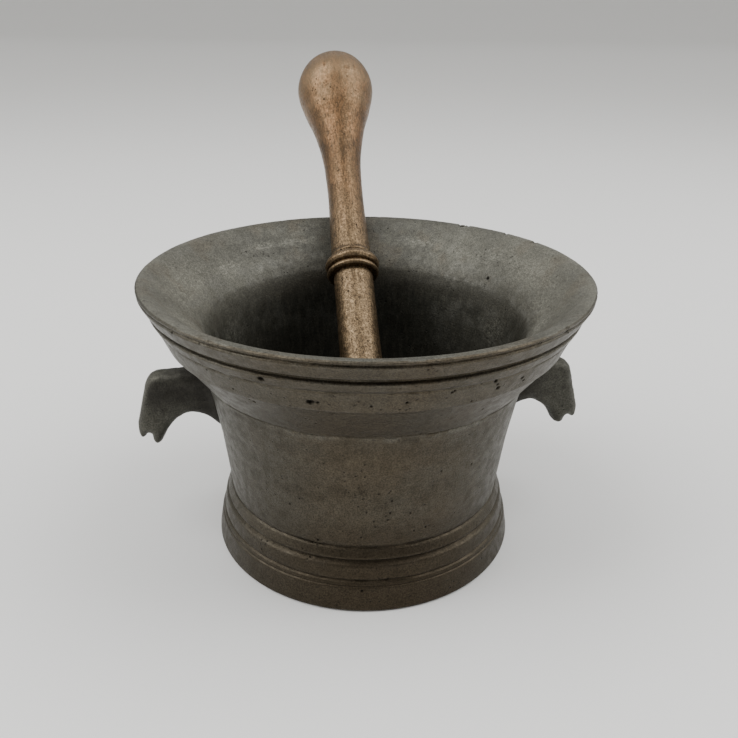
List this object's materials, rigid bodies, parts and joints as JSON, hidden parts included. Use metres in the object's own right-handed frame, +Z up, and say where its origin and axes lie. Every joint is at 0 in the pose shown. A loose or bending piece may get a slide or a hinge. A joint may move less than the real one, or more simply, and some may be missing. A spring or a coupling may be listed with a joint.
{
  "type": "mortar and pestle",
  "caption": "Cast bronze mortar with a wide flared rim, turned bands and lug handles, and a turned bronze pestle for crushing and grinding.",
  "frame": {"origin": "centre of the foot's flat underside, on the mortar's turning axis", "axes": "+Z up along the mortar's axis, +Y the way the pestle leans, the two lugs towards -X and +X"},
  "size_m": [0.1826, 0.2357, 0.1827],
  "materials": {
    "mortar_bronze": "dark olive-brown patinated cast bronze, worn at the edges",
    "pestle_bronze": "warm tan-brown handled bronze, satin"
  },
  "bodies": {
    "mortar": {"mortar_body": "mortar_bronze", "left_lug": "mortar_bronze", "right_lug": "mortar_bronze"},
    "pestle": {"pestle": "pestle_bronze"}
  },
  "joints": [
    {"name": "pestle_lift", "type": "slide", "parent": "mortar", "child": "pestle", "axis": [0, 0, 1], "range_m": [0, 0.12]}
  ]
}
